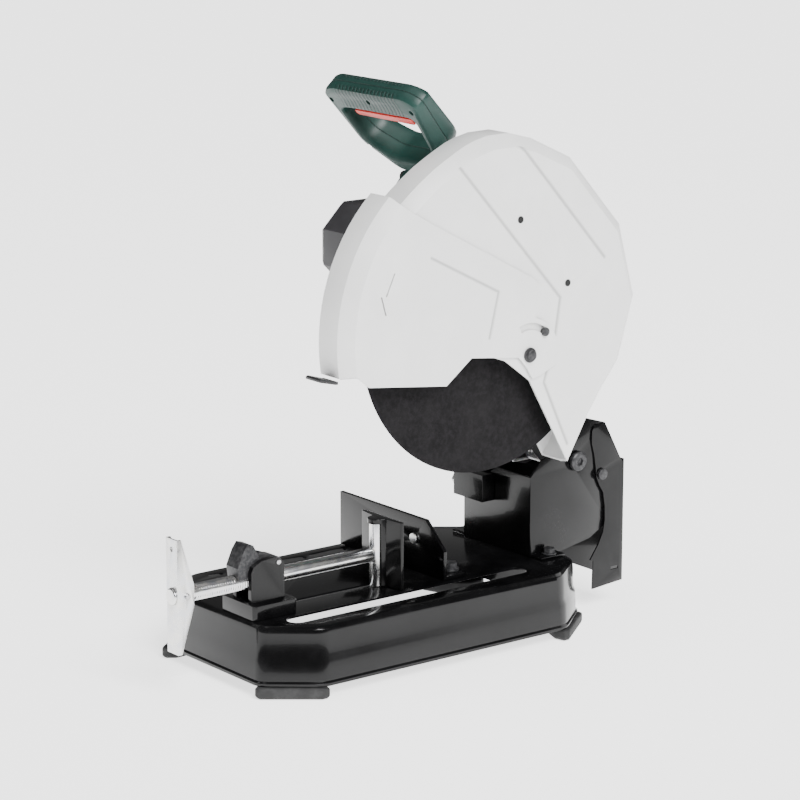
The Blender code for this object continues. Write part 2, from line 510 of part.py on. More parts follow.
cover8 = [polar(MOTOR, 57.0, 22.5 + 45 * i) for i in range(8)]
small8 = [polar(MOTOR, 50.0, 22.5 + 45 * i) for i in range(8)]
cap = loft("motor_end_cover", [[(x, *p) for p in out] for x, out in ((-84.0, cover8), (-124.0, cover8),
                                                                     (-135.0, small8))])
cut(cap, disc("cut_cap", "x", MOTOR, -128.0, -80.0, 47.0, 48),
    *[box("cut_vent_%d" % i, (-140.0, -120.0), (MOTOR[0] - 26, MOTOR[0] + 26),
          (MOTOR[1] - 28 + 12 * i, MOTOR[1] - 23 + 12 * i)) for i in range(5)],
    disc("cut_brush", "z", (-100.0, MOTOR[0]), MOTOR[1] - 70, MOTOR[1] + 70, 7.3, 32))
finish(cap, *DARK)
pivot_at(cap, 0.0, *PIVOT)
for tag, s in (("top", 1), ("bottom", -1)):
    brush = disc("brush_cap_" + tag, "z", (-100.0, MOTOR[0]), MOTOR[1] + s * 47.6, MOTOR[1] + s * 53.2, 7.0, 32)
    cut(brush, box("cut_bs_" + tag, (-108.0, -92.0), (MOTOR[0] - 0.8, MOTOR[0] + 0.8),
                   sorted((MOTOR[1] + s * 51.6, MOTOR[1] + s * 56.0))))
    finish(brush, *RUBBER)
    pivot_at(brush, 0.0, *PIVOT)
    HEAD.append(brush)
stator = ring("stator", "x", MOTOR, -78.0, -34.0, 45.6, 28.5, 48)
finish(stator, (0.20, 0.18, 0.17), 0.6, 0.8)
pivot_at(stator, 0.0, *PIVOT)


def toothed(name, axis, centre, lo, hi, tip, root, teeth, bore=None):
    pts = []
    for i in range(teeth):
        for r, f in ((root, -0.30), (tip, -0.16), (tip, 0.16), (root, 0.30)):
            a = 2 * math.pi * (i + f) / teeth
            pts.append((centre[0] + r * math.cos(a), centre[1] + r * math.sin(a)))
    gear = prism(name, axis, lo, hi, pts)
    return cut(gear, disc("cut_" + name, axis, centre, lo - 2, hi + 2, bore, 32)) if bore else gear


PINION_T, GEAR_T = 10, 49
armature = turned("armature", "x", MOTOR, [(-118.0, 0), (-118.0, 6.0), (-104.0, 6.0), (-104.0, 17.0),
                                         (-88.0, 17.0), (-88.0, 8.0), (-76.0, 8.0), (-76.0, 27.5), (-36.0, 27.5),
                                         (-36.0, 8.0), (-24.0, 8.0), (-24.0, 42.0), (-12.0, 42.0), (-10.0, 8.0),
                                         (21.0, 8.0), (21.0, 0)], 40)
fuse(armature, toothed("add_pinion", "x", MOTOR, 18.0, 46.0, 11.3, 9.4, PINION_T))
finish(armature, *STEEL)
pivot_at(armature, 0.0, *MOTOR)

# ------------------------------------------------------------------ spindle, flanges and wheel
gear = toothed("spindle_gear", "x", SPINDLE, 22.0, 42.0, 56.4, 54.2, GEAR_T, 11.3)
finish(gear, *STEEL)
spindle = turned("spindle", "x", SPINDLE, [(12.0, 0), (12.0, 11.0), (98.0, 11.0), (98.0, 5.3), (80.0, 5.3),
                                         (78.0, 0)], 40)
finish(spindle, *STEEL)
flange_in = turned("inner_flange", "x", SPINDLE, [(80.0, 11.3), (80.0, 20.0), (87.0, 24.0), (90.0, 38.0),
                                                (94.6, 38.0), (94.6, 30.0), (94.0, 30.0), (94.0, 12.4),
                                                (97.6, 12.4), (97.6, 11.3)], 48)
finish(flange_in, *STEEL)
flange_out = turned("outer_flange", "x", SPINDLE, [(98.4, 38.0), (103.0, 38.0), (106.0, 30.0), (106.0, 5.3),
                                                 (99.0, 5.3), (99.0, 30.0), (98.4, 30.0)], 48)
finish(flange_out, *STEEL)
wheel_bolt = hexagon("wheel_bolt", "x", SPINDLE, 108.3, 115.0, 17.0)
fuse(wheel_bolt, disc("add_wb_w", "x", SPINDLE, 106.3, 108.5, 12.0, 32),
     disc("add_wb_s", "x", SPINDLE, 84.0, 107.0, 5.0, 24))
finish(wheel_bolt, *ZINC)
W0, W1 = WHEEL_X - WHEEL_T / 2, WHEEL_X + WHEEL_T / 2
wheel = ring("abrasive_wheel", "x", SPINDLE, W0, W1, WHEEL_R, 12.7, 120)
finish(wheel, (0.02, 0.018, 0.02), 0.95, 0.0)
for obj in (gear, spindle, flange_in, flange_out, wheel_bolt, wheel):
    pivot_at(obj, WHEEL_X, *SPINDLE)

lock = turned("spindle_lock_button", "x", LOCK_AT, [(-8.0, 0), (-8.0, 5.5), (-6.5, 7.0), (8.0, 7.0), (8.0, 4.0),
                                                  (18.0, 4.0), (18.0, 0)], 32)
finish(lock, *DARK)
pivot_at(lock, 0.0, *LOCK_AT)

# ------------------------------------------------------------------ fixed guard
# pressed shell: back plate, rim, chamfer and outer face, open along the lower front
RIM = [(198.5, 212.5), (234.0, 261.0), (286.4, 326.2), (309.5, 402.0), (285.0, 491.5), (205.4, 579.5),
       (146.0, 607.0), (112.0, 616.0)]
RIM += [polar(SPINDLE, r, a) for a, r in ((91, 221.5), (96, 218.5), (100, 215.5), (104, 212.0), (109, 208.5),
                                          (114, 206.0), (120, 203.5), (126, 202.0), (132, 201.5), (140, 200.5),
                                          (150, 199.5), (160, 199.0), (169, 198.5), (176, 198.0))]
OPEN = [(-60.0, 398.0), (40.0, 372.0), (100.0, 350.0), (136.6, 322.0)]
INSET = [3.0, 9.0] + [15.0] * (len(RIM) - 2)


def guard_solid(name, x, rim_in, face_in, ends):
    """Loft through back, rim and face. ends are the open-side points."""
    r_rim = [toward(p, SPINDLE, rim_in) for p in RIM]
    r_face = [toward(p, SPINDLE, d + face_in) for p, d in zip(RIM, INSET)]
    return loft(name, [[(x[0], *p) for p in r_rim + ends], [(x[1], *p) for p in r_rim + ends],
                       [(x[2], *p) for p in r_face + ends]])


guard = guard_solid("fixed_guard", (GUARD_BACK, GUARD_RIM, GUARD_FACE), 0.0, 0.0, OPEN)
opening = [(-118.0, 380.0), (-60.0, 372.0), (40.0, 340.0), (92.0, 316.0), (124.0, 296.0), (176.0, 196.0),
           (184.0, 190.0)]
cut(guard,
    guard_solid("cut_guard", (GUARD_BACK + 2.5, GUARD_RIM - 1.0, GUARD_FACE - 2.5), 2.5, 1.6, opening),
    disc("cut_guard_hub", "x", SPINDLE, GUARD_BACK - 3, GUARD_BACK + 5, 22.0, 40),
    disc("cut_guard_pivot", "x", COVER_PIVOT, GUARD_FACE - 8, GUARD_FACE + 4, 4.3, 24))
LIMIT = polar(COVER_PIVOT, 34.0, 48.0)
RIVETS = [(120.7, 515.3), (193.9, 432.4)]
cut(guard, disc("cut_guard_limit", "x", LIMIT, GUARD_FACE - 8, GUARD_FACE + 4, 3.3, 24),
    *[disc("cut_rivet_%d" % i, "x", p, GUARD_FACE - 8, GUARD_FACE + 4, 2.8, 20) for i, p in enumerate(RIVETS)])
finish(guard, *WHITE)
pivot_at(guard, 0.0, *PIVOT)
for i, p in enumerate(RIVETS):
    rivet = turned("guard_rivet_%d" % (i + 1), "x", p, [(GUARD_FACE - 4.6, 0), (GUARD_FACE - 4.6, 4.2),
                                                       (GUARD_FACE - 2.8, 4.2), (GUARD_FACE - 2.8, 2.5),
                                                       (GUARD_FACE + 0.2, 2.5), (GUARD_FACE + 0.2, 4.4),
                                                       (GUARD_FACE + 0.7, 4.0), (GUARD_FACE + 0.7, 0)], 24)
    finish(rivet, *RUBBER)
    pivot_at(rivet, 0.0, *PIVOT)
    HEAD.append(rivet)

# ------------------------------------------------------------------ moving front cover
ARC = [polar(SPINDLE, 221.5, 189.0 - 57.3 * i / 14) for i in range(15)]
REST = [(-10.5, 523.2), (135.0, 446.4), (150.0, 434.0)]
REST += [polar(COVER_PIVOT, 44.0, a) for a in (78, 62, 46, 30, 14, -4, -22)]
REST += [(150.0, 327.0), (138.0, 324.5), (130.0, 338.0), (117.0, 353.0), (46.0, 361.6), (9.0, 333.5),
         (-102.0, 347.0)]


def cover_solid(name, x, rim_in, face_in, rest):
    r_rim = [toward(p, SPINDLE, rim_in) for p in ARC]
    r_face = [toward(p, SPINDLE, 15.0 + face_in) for p in ARC]
    return loft(name, [[(x[0], *p) for p in r_rim + rest], [(x[1], *p) for p in r_rim + rest],
                       [(x[2], *p) for p in r_face + rest]])


cover = cover_solid("front_cover", (COVER_BACK, COVER_RIM, COVER_FACE), 0.0, 0.0, REST)
far = [(20.0, 600.0), (260.0, 600.0), (260.0, 280.0), (120.0, 280.0), (-150.0, 300.0)]
tool = cover_solid("cut_cover", (COVER_BACK - 4, COVER_RIM - 1.0, COVER_FACE - 2.5), 2.5, 1.6, far)
SLOT = [polar(COVER_PIVOT, 38.3, a) for a in range(42, 117, 6)]
SLOT += [polar(COVER_PIVOT, 29.7, a) for a in range(114, 41, -6)]
cut(cover, tool,
    disc("cut_cover_pivot", "x", COVER_PIVOT, COVER_FACE - 6, COVER_FACE + 4, 4.3, 24),
    prism("cut_cover_slot", "x", COVER_FACE - 6, COVER_FACE + 4, SLOT),
    prism("cut_slit_1", "x", COVER_FACE - 6, COVER_FACE + 4, [(-67.0, 474.0), (-65.0, 474.0), (-77.0, 448.5),
                                                              (-79.0, 448.5)]),
    prism("cut_slit_2", "x", COVER_FACE - 6, COVER_FACE + 4, [(-86.0, 449.0), (-84.0, 449.0), (-77.5, 427.0),
                                                              (-79.5, 427.0)]))
finish(cover, *WHITE)
pivot_at(cover, COVER_FACE, *COVER_PIVOT)
pivot_bolt = turned("cover_pivot_bolt", "x", COVER_PIVOT, [(106.5, 0), (106.5, 7.5), (113.0, 7.5), (113.0, 4.0),
                                                         (123.3, 4.0), (123.3, 9.0), (125.0, 9.0), (125.4, 6.5),
                                                         (128.5, 6.5), (129.0, 5.5), (129.0, 0)], 32)
finish(pivot_bolt, *DARK)
limit_bolt = turned("cover_limit_bolt", "x", LIMIT, [(110.5, 0), (110.5, 6.0), (115.5, 6.0), (115.5, 3.0),
                                                   (123.3, 3.0), (123.3, 5.5), (126.5, 5.0), (126.5, 0)], 24)
finish(limit_bolt, *DARK)
for obj in (pivot_bolt, limit_bolt):
    pivot_at(obj, 0.0, *PIVOT)
LIP_Z = 354.5
lip = prism("cover_lip", "x", 78.0, 106.0, [(-156.0, LIP_Z + 7.0), (-158.5, LIP_Z + 6.0), (-158.5, LIP_Z + 3.0),
                                           (-136.0, LIP_Z - 2.5), (-133.2, LIP_Z - 2.5), (-133.2, LIP_Z + 1.0),
                                           (-135.6, LIP_Z + 1.0)])
finish(lip, *DARK)
pivot_at(lip, COVER_FACE, *COVER_PIVOT)

# ------------------------------------------------------------------ handle: a D across the machine
# Its plane leans forward; a runs along the grip, b down and back in that plane, s through it.
LEAN = math.radians(42.75)
GRIP_AT = (-100.0, 2.4, 644.2)
MID, GAP = 15.0, 0.15
OUTER = [(-2.0, -7.0), (16.0, -18.0), (158.0, -18.0), (176.0, -7.0), (174.0, 4.0), (161.0, 70.5),
         (114.0, 111.0), (60.0, 111.0), (13.0, 70.5), (0.0, 4.0)]
LOOP = [(18.0, 16.5), (40.0, 14.5), (150.0, 14.5), (156.0, 17.5), (148.5, 65.7), (115.0, 89.5), (59.0, 89.5),
        (25.5, 65.7)]


def tilt(a, b, s):
    """Handle coordinates to the base's plan."""
    return (GRIP_AT[0] + a, GRIP_AT[1] + b * math.sin(LEAN) + s * math.cos(LEAN),
            GRIP_AT[2] - b * math.cos(LEAN) + s * math.sin(LEAN))


def flared(a, b, s):
    """The shells get thicker towards the neck."""
    side = 1 if s > MID else -1
    return tilt(a, b, MID + side * (GAP + (abs(s - MID) - GAP) * (1 + 0.006 * b)))


def inset(outline, d):
    """Outline moved inwards by d, mitred at the corners."""
    out, m = [], len(outline)
    area = sum(outline[i][0] * outline[(i + 1) % m][1] - outline[(i + 1) % m][0] * outline[i][1]
               for i in range(m))
    for i in range(m):
        p0, p1, p2 = (Vector(outline[j % m]) for j in (i - 1, i, i + 1))
        a, b = (p1 - p0).normalized(), (p2 - p1).normalized()
        na, nb = Vector((-a.y, a.x)), Vector((-b.y, b.x))
        k = d * (1 if area > 0 else -1)
        v = (na + nb) * (k / max(0.3, 1 + na.dot(nb)))
        out.append((p1.x + v.x, p1.y + v.y))
    return out


def softened(outline, reach, steps):
    """Corners turned into short curves that start reach away from each."""
    out, m = [], len(outline)
    for i in range(m):
        p0, p1, p2 = (Vector(outline[j % m]) for j in (i - 1, i, i + 1))
        a = p1 + (p0 - p1) * min(0.45, reach / (p0 - p1).length)
        b = p1 + (p2 - p1) * min(0.45, reach / (p2 - p1).length)
        for k in range(steps + 1):
            t = k / steps
            q = a * (1 - t) ** 2 + p1 * (2 * t * (1 - t)) + b * t * t
            out.append((q.x, q.y))
    return out


def slab(name, lo, hi, outline):
    return loft(name, [[tilt(*p, s) for p in outline] for s in (lo, hi)])


def peg(name, centre, lo, hi, radius, seg=20):
    return slab(name, lo, hi, [polar(centre, radius, 360.0 * i / seg) for i in range(seg)])


outer, loop = softened(OUTER, 11.0, 3), softened(LOOP, 9.0, 3)
CAVITY = [(36.0, -5.0), (153.0, -5.0), (153.0, 32.0), (36.0, 32.0)]
SCREWS = [(10.0, 2.0), (86.0, -4.0), (163.0, 2.0), (25.5, 75.0)]
LOCK_ON = (22.0, -2.0)
shells = []
for tag, s0, s1 in (("front", 0.0, MID - GAP), ("back", 2 * MID, MID + GAP)):
    k = 1 if s1 > s0 else -1
    shell = loft("handle_" + tag, [[flared(*p, s) for p in inset(outer, d)]
                                   for s, d in ((s0, 5.5), (s0 + k * 1.8, 2.0), (s0 + k * 6, 0.0), (s1, 0.0))])
    hole = loft("cut_loop_" + tag, [[flared(*p, s) for p in inset(loop, d)]
                                    for s, d in ((s0 - k * 4, -6.0), (s0, -4.0), (s0 + k * 1.8, -1.6),
                                                 (s0 + k * 6, 0.0))]
                + [[tilt(*p, s1 + k * 4) for p in loop]])
    cut(shell, hole, slab("cut_cavity_" + tag, MID - 7.4, MID + 7.4, CAVITY))
    if tag == "back":
        cut(shell, peg("cut_lock_on", LOCK_ON, 2 * MID - 11.5, 2 * MID + 4, 5.3, 28))
    else:
        for i, p in enumerate(SCREWS):
            face = MID - MID * (1 + 0.006 * p[1])
            cut(shell, peg("cut_screw_%d" % i, p, face - 3, face + 5.2, 3.5))
    finish(shell, *GREEN)
    pivot_at(shell, 0.0, *PIVOT)
    shells.append(shell)
for i, p in enumerate(SCREWS):
    face = MID - MID * (1 + 0.006 * p[1])
    sc = peg("handle_screw_%d" % (i + 1), p, face + 2.2, face + 4.9, 3.1, 18)
    finish(sc, *RUBBER)
    pivot_at(sc, 0.0, *PIVOT)
    HEAD.append(sc)

# trigger: a paddle as wide as the grip on a stem that slides in the shells' cavity
trigger = slab("trigger", MID - 13.0, MID + 13.0, [(38.0, 18.3), (147.0, 18.3), (147.0, 26.0), (144.0, 28.0),
                                                  (42.0, 26.0), (38.0, 24.0)])
fuse(trigger, slab("add_stem", MID - 7.0, MID + 7.0, [(50.0, 3.0), (140.0, 3.0), (140.0, 20.0), (50.0, 20.0)]))
finish(trigger, (0.62, 0.03, 0.02), 0.4, 0.0)
pivot_at(trigger, *tilt(94.0, 12.0, MID))
button = loft("lock_on_button", [[tilt(*polar(LOCK_ON, r, 360.0 * i / 28), s) for i in range(28)]
                                 for s, r in ((2 * MID - 7.5, 5.0), (2 * MID + 2.2, 5.0), (2 * MID + 3.0, 4.2))])
finish(button, (0.62, 0.03, 0.02), 0.4, 0.0)
pivot_at(button, *tilt(*LOCK_ON, 2 * MID))

# neck between the motor's boss and the D, with the empty cable gland on its left
neck = prism("handle_mount", "x", -41.0, 14.0, [(48.0, 522.3), (98.0, 522.3), (106.0, 545.0), (107.0, 572.0),
                                              (105.2, 587.3), (72.1, 556.7), (62.0, 545.0), (54.0, 534.0)])
finish(neck, *GREEN)
pivot_at(neck, 0.0, *PIVOT)
gland = turned("cable_gland", "x", (86.0, 548.0), [(-58.0, 4.6), (-58.0, 6.5), (-52.0, 8.0), (-47.0, 8.5),
                                                 (-47.0, 11.0), (-41.3, 11.0), (-41.3, 4.6)], 32)
finish(gland, *RUBBER)
pivot_at(gland, 0.0, *PIVOT)
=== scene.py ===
import json
import math

import bpy
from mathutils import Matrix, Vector


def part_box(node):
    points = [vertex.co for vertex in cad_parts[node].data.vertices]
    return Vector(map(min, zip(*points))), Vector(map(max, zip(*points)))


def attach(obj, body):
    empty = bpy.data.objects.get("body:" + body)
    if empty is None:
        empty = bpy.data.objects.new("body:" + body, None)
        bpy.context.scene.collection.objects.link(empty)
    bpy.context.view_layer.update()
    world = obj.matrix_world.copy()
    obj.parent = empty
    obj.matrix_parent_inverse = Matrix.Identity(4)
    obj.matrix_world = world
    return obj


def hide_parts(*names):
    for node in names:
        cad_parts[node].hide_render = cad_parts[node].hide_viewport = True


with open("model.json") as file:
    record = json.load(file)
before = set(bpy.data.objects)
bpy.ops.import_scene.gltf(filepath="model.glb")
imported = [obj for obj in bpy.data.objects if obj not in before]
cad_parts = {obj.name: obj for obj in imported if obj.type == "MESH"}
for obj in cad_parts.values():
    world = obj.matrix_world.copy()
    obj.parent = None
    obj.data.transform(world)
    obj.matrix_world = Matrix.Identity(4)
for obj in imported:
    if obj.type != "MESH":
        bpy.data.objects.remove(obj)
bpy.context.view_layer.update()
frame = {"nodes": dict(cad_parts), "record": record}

# ---------------------------------------------------------------- studio table, lights and camera
# The saw stands on a pale, softly glowing table. A wide source lights it from the upper right, and
# softboxes overhead, to the right, in front and behind draw lines along the black enamel.
FLOOR_TONE = (0.93, 0.93, 0.93, 1.0)
bpy.ops.object.select_all(action="DESELECT")
bpy.ops.mesh.primitive_plane_add(size=24.0, location=(0.0, 0.0, -0.0006))
floor = bpy.context.object
floor.name = "studio_table"
floor_mat = bpy.data.materials.new("table_paint")
floor_mat.use_nodes = True
surface = floor_mat.node_tree.nodes["Principled BSDF"].inputs
surface["Base Color"].default_value = FLOOR_TONE
surface["Roughness"].default_value = 0.9
surface["Emission Color"].default_value = FLOOR_TONE
surface["Emission Strength"].default_value = 1.9
floor.data.materials.append(floor_mat)

world = bpy.data.worlds.new("studio")
bpy.context.scene.world = world
world.use_nodes = True
sky = world.node_tree.nodes["Background"].inputs
sky["Color"].default_value = (1.0, 1.0, 1.0, 1.0)
sky["Strength"].default_value = 0.16

wide = bpy.data.lights.new("wide_source", "SUN")
wide.energy, wide.angle = 5.0, math.radians(32.0)
holder = bpy.data.objects.new("wide_source", wide)
bpy.context.scene.collection.objects.link(holder)
holder.rotation_euler = (math.radians(6.0), math.radians(46.0), 0.0)
AIM = Vector((0.0, 0.0, 0.33))
for name, place, size, power in (("overhead_box", (-0.2, -0.4, 2.3), (1.6, 1.6), 10.0),
                                 ("right_box", (2.6, 0.2, 1.4), (1.2, 1.6), 16.0),
                                 ("left_strip", (-1.2, -2.4, 1.0), (0.5, 1.6), 7.0),
                                 ("back_box", (0.4, 2.6, 1.5), (1.6, 0.8), 10.0)):
    lamp = bpy.data.lights.new(name, "AREA")
    lamp.shape = "RECTANGLE"
    lamp.size, lamp.size_y = size
    lamp.energy = power
    holder = bpy.data.objects.new(name, lamp)
    bpy.context.scene.collection.objects.link(holder)
    holder.location = place
    holder.rotation_euler = (AIM - Vector(place)).to_track_quat("-Z", "Y").to_euler()

lens = bpy.data.cameras.new("camera")
lens.lens = 137.4
lens.sensor_width = 36.0
camera = bpy.data.objects.new("camera", lens)
bpy.context.scene.collection.objects.link(camera)
camera.location = (2.79859, -2.13122, 1.11408)
AZIMUTH, ELEVATION, ROLL = 52.36, 13.11, -0.03
camera.rotation_euler = [math.radians(turn) for turn in (90.0 - ELEVATION, ROLL, AZIMUTH)]
bpy.context.scene.camera = camera

# ---------------------------------------------------------------- pressed base pan
# Deep-drawn 2.5 mm steel pan with a stepped wall and a kerf slot, dipped and stove enamelled
# gloss black. The sheet's edges are soft, and the enamel has a little orange peel.
BODY = {node: body for body, nodes in frame["record"]["behaviour"]["bodies"].items() for node in nodes}


class Value:
    """A number between shader nodes; arithmetic on it adds Math nodes."""

    def __init__(self, paint, socket):
        self.paint, self.socket = paint, socket

    def math(self, operation, *others):
        return self.paint.add("ShaderNodeMath", {"operation": operation}, self, *others)

    def __add__(self, other):
        return self.math("ADD", other)

    def __sub__(self, other):
        return self.math("SUBTRACT", other)

    def __rsub__(self, other):
        return self.paint.add("ShaderNodeMath", {"operation": "SUBTRACT"}, other, self)

    def __mul__(self, other):
        return self.math("MULTIPLY", other)

    def __truediv__(self, other):
        return self.math("DIVIDE", other)

    __radd__ = __add__
    __rmul__ = __mul__

    def rise(self, low, high):
        """0 below low, 1 above high, smooth between."""
        smooth = {"interpolation_type": "SMOOTHSTEP"}
        return self.paint.add("ShaderNodeMapRange", smooth, self, low, high, 0.0, 1.0)


class Paint:
    """A finish: one Principled shader whose even values are set on its sockets."""

    def __init__(self, name, **even):
        self.material = bpy.data.materials.new(name)
        self.material.use_nodes = True
        self.tree = self.material.node_tree
        self.shader = self.tree.nodes["Principled BSDF"]
        self.set(**even)
        self.place = self.add("ShaderNodeTexCoord", None, out="Object")

    def add(self, kind, settings=None, *values, out=0, **named):
        node = self.tree.nodes.new(kind)
        for key, value in (settings or {}).items():
            if key == "stops":
                for i, (position, colour) in enumerate(value):
                    stop = node.color_ramp.elements[i] if i < 2 else node.color_ramp.elements.new(position)
                    stop.position, stop.color = position, (*colour, 1.0)
            else:
                setattr(node, key, value)
        for key, value in [*enumerate(values), *named.items()]:
            if value is None:
                continue
            socket = node.inputs[key.replace("_", " ") if isinstance(key, str) else key]
            if isinstance(value, Value):
                self.tree.links.new(value.socket, socket)
            else:
                socket.default_value = value
        return Value(self, node.outputs[out])

    def set(self, **values):
        for key, value in values.items():
            socket = self.shader.inputs[key.replace("_", " ")]
            if isinstance(value, Value):
                self.tree.links.new(value.socket, socket)
            else:
                socket.default_value = value

    def noise(self, size, detail=2.0, rough=0.5):
        """Noise whose features are about size metres across."""
        return self.add("ShaderNodeTexNoise", None, Vector=self.place, Scale=1.0 / size,
                        Detail=detail, Roughness=rough)

    def tint(self, factor, low, high):
        return self.add("ShaderNodeMix", {"data_type": "RGBA"}, factor, None, None, None, None, None,
                        (*low, 1.0) if isinstance(low, tuple) else low,
                        (*high, 1.0) if isinstance(high, tuple) else high, out=2)

    def relief(self, height, strength=1.0):
        """Height in metres, felt by the light."""
        self.set(Normal=self.add("ShaderNodeBump", None, Strength=strength, Distance=1.0, Height=height))

    def shade(self, factor, dark=(0.30, 0.30, 0.30)):
        """Darkens the base colour where factor is near 1: painted shade, like the shade that falls in a
        crease.
        """
        socket = self.shader.inputs["Base Color"]
        self.set(Base_Color=self.tint(factor * 0.75, Value(self, socket.links[0].from_socket), dark))

    def axes(self):
        """The x, y and z of a point on the piece."""
        node = self.tree.nodes.new("ShaderNodeSeparateXYZ")
        self.tree.links.new(self.place.socket, node.inputs[0])
        return [Value(self, socket) for socket in node.outputs]


def enamel(name, dust=0.0):
    """Gloss black stove enamel on steel."""
    paint = Paint(name, Specular_IOR_Level=0.20, Coat_Roughness=0.05)
    cloud = paint.noise(0.05, 3.0, 0.6)
    peel = paint.noise(0.0032, 1.0)
    fine = paint.noise(0.0007, 2.0)
    black = paint.tint(cloud.rise(0.35, 0.7), (0.0018, 0.0018, 0.0020), (0.0042, 0.0042, 0.0046))
    paint.set(Base_Color=black,
              Roughness=0.12 + dust + 0.09 * cloud.rise(0.4, 0.75) + 0.04 * fine,
              Coat_Weight=0.14 + 0.12 * cloud)
    paint.relief(9e-6 * peel + 1.2e-6 * fine)
    return paint


def finer(node, paint, width, segments=2, smooth=35.0, sharp=28.0, flat=0.4):
    """A copy of a CAD node: triangles joined into faces, edges rounded, curves smooth."""
    bpy.ops.object.select_all(action="DESELECT")
    piece = bpy.data.objects.new(node + "_body", frame["nodes"][node].data.copy())
    bpy.context.scene.collection.objects.link(piece)
    bpy.context.view_layer.objects.active = piece
    piece.select_set(True)
    piece.data.materials.clear()
    piece.data.materials.append(paint.material)
    if piece.data.has_custom_normals:
        bpy.ops.mesh.customdata_custom_splitnormals_clear()
    bpy.ops.object.mode_set(mode="EDIT")
    bpy.ops.mesh.select_all(action="SELECT")
    bpy.ops.mesh.remove_doubles(threshold=2e-6)
    bpy.ops.mesh.dissolve_limited(angle_limit=math.radians(flat))
    bpy.ops.object.mode_set(mode="OBJECT")
    if width:
        edge = piece.modifiers.new("edges", "BEVEL")
        edge.width, edge.segments = width, segments
        edge.limit_method, edge.angle_limit = "ANGLE", math.radians(sharp)
        bpy.ops.object.modifier_apply(modifier=edge.name)
    bpy.ops.object.shade_smooth_by_angle(angle=math.radians(smooth))
    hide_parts(node)
    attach(piece, BODY[node])
    return piece


pan_enamel = enamel("pan_enamel")
finer("base_pan", pan_enamel, 0.0009, 3, smooth=50)

# ---------------------------------------------------------------- rubber feet
# Four moulded black rubber blocks that wrap the pan's cut corners. They are glued and riveted on,
# matt, with the mould's fine spark-eroded grain and a little dust.


def rubber(name, shade=0.018):
    paint = Paint(name, Specular_IOR_Level=0.35)
    grain = paint.noise(0.0006, 3.0, 0.6)
    dust = paint.noise(0.018, 4.0, 0.6)
    tone = tuple(shade * k for k in (1.0, 1.0, 1.02))
    paint.set(Base_Color=paint.tint(dust.rise(0.45, 0.8), tone, tuple(2.2 * t for t in tone)),
              Roughness=0.62 + 0.2 * dust)
    paint.relief(1.6e-5 * grain)
    return paint


foot_rubber = rubber("foot_rubber")
for corner in ("front_right", "front_left", "rear_right", "rear_left"):
    finer("foot_" + corner, foot_rubber, 0.0012, 3)

# ---------------------------------------------------------------- pivot stand and spark shroud
# Folded steel: a front plate with two cheeks, bolted through its feet to the pan, and a U of
# thinner sheet behind it that catches the sparks. Both are in the same enamel as the pan.
stand_enamel = enamel("stand_enamel", 0.06)
finer("pivot_stand", stand_enamel, 0.0007)
shroud_enamel = enamel("shroud_enamel", 0.02)
finer("spark_shroud", shroud_enamel, 0.0005)
finer("stop_bracket", stand_enamel, 0.0010, 3)

# ---------------------------------------------------------------- bolts and pivot shaft
# The stand's and shroud's fasteners and the turned pivot shaft are black oxide, faintly oily. The
# stop, fence and wheel bolts are bright zinc plate with the crystal bloom of passivation.


def zinc(name, rough=0.24, cloudy=0.16):
    paint = Paint(name, Metallic=1.0)
    bloom = paint.add("ShaderNodeTexVoronoi", None, Vector=paint.place, Scale=900.0)
    cloud = paint.noise(0.012, 3.0, 0.6)
    fine = paint.noise(0.0009, 3.0, 0.65)
    paint.set(Base_Color=paint.tint(cloud.rise(0.3, 0.7), (0.62, 0.63, 0.66), (0.80, 0.79, 0.76)),
              Roughness=rough + cloudy * cloud.rise(0.35, 0.7) + 0.05 * fine)
    paint.relief(2.5e-6 * fine + 3e-6 * bloom)
    return paint


oxide = Paint("black_oxide", Metallic=0.35)
scale = oxide.noise(0.004, 4.0, 0.6)
oxide.set(Base_Color=oxide.tint(scale.rise(0.35, 0.7), (0.016, 0.016, 0.018), (0.050, 0.050, 0.052)),
          Roughness=0.30 + 0.2 * scale)
oxide.relief(6e-6 * oxide.noise(0.0008, 3.0))
for node in ("flange_bolt_right", "flange_bolt_left", "shroud_bolt_right", "shroud_bolt_left",
             "pivot_shaft", "fence_pivot_bolt"):
    finer(node, oxide, 0.0004)
bolt_zinc = zinc("bolt_zinc")
for node in ("stop_bolt", "fence_face_bolt", "wheel_bolt"):
    finer(node, bolt_zinc, 0.0004)

# ---------------------------------------------------------------- small turned steel
# Circlip, roll pins, gears, spindle and flanges: plain machined steel with a light oil film, so
# darker and sharper than the plated parts.


def machined(name, centre=None):
    """Turned steel; with a (y, z) centre it carries the tool's rings."""
    paint = Paint(name, Metallic=1.0)
    cloud = paint.noise(0.02, 3.0, 0.6)
    fine = paint.noise(0.0006, 3.0, 0.6)
    height = 2e-6 * fine
    if centre:
        x, y, z = paint.axes()
        r2 = (y - centre[0]) * (y - centre[0]) + (z - centre[1]) * (z - centre[1])
        rings = ((r2.math("POWER", 0.5)) * 9000.0).math("SINE")
        height = height + 1.5e-6 * rings
    paint.set(Base_Color=paint.tint(cloud, (0.40, 0.40, 0.42), (0.60, 0.60, 0.60)),
              Roughness=0.26 + 0.14 * cloud)
    paint.relief(height)
    return paint


plain_steel = machined("plain_steel")
for node in ("shaft_circlip", "lever_pin", "crank_pin"):
    finer(node, plain_steel, 0.0002)
low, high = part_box("abrasive_wheel")
SPINDLE = Vector(((low.x + high.x) / 2, (low.y + high.y) / 2, (low.z + high.z) / 2))
turned_steel = machined("turned_steel", (SPINDLE.y, SPINDLE.z))
for node in ("spindle", "inner_flange", "outer_flange", "spindle_gear"):
    finer(node, turned_steel, 0.0003)
low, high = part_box("stator")
MOTOR = (low + high) / 2
finer("armature", machined("rotor_steel", (MOTOR.y, MOTOR.z)), 0.0002)

